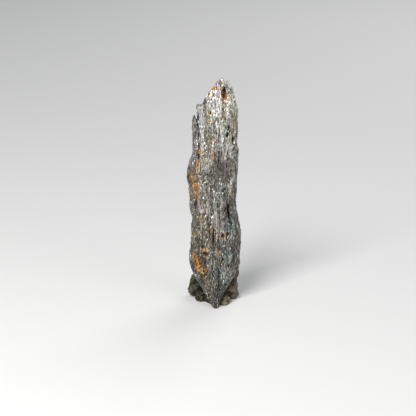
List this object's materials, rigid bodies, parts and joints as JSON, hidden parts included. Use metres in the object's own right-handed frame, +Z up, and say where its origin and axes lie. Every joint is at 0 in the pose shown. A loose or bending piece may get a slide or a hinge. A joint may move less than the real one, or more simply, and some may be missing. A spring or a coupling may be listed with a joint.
{
  "type": "hematite specimen",
  "caption": "Upright splintery blade of fibrous grey iridescent hematite with rust in its seams, held up by a small wad of putty.",
  "frame": {"origin": "on the surface that the specimen stands on, under the middle of its bounding box", "axes": "+Z up along the blade's length, -Y out of the blade's front, +X to the right as seen from the front"},
  "size_m": [0.0245, 0.0227, 0.0992],
  "materials": {
    "hematite": "metallic grey, fibrous, with glinting laths and rust-orange limonite in seams and pits",
    "putty": "matt grey-khaki museum putty, pressed by hand"
  },
  "bodies": {
    "root": {"hematite_blade": "hematite", "putty_wad": "putty"}
  },
  "joints": []
}
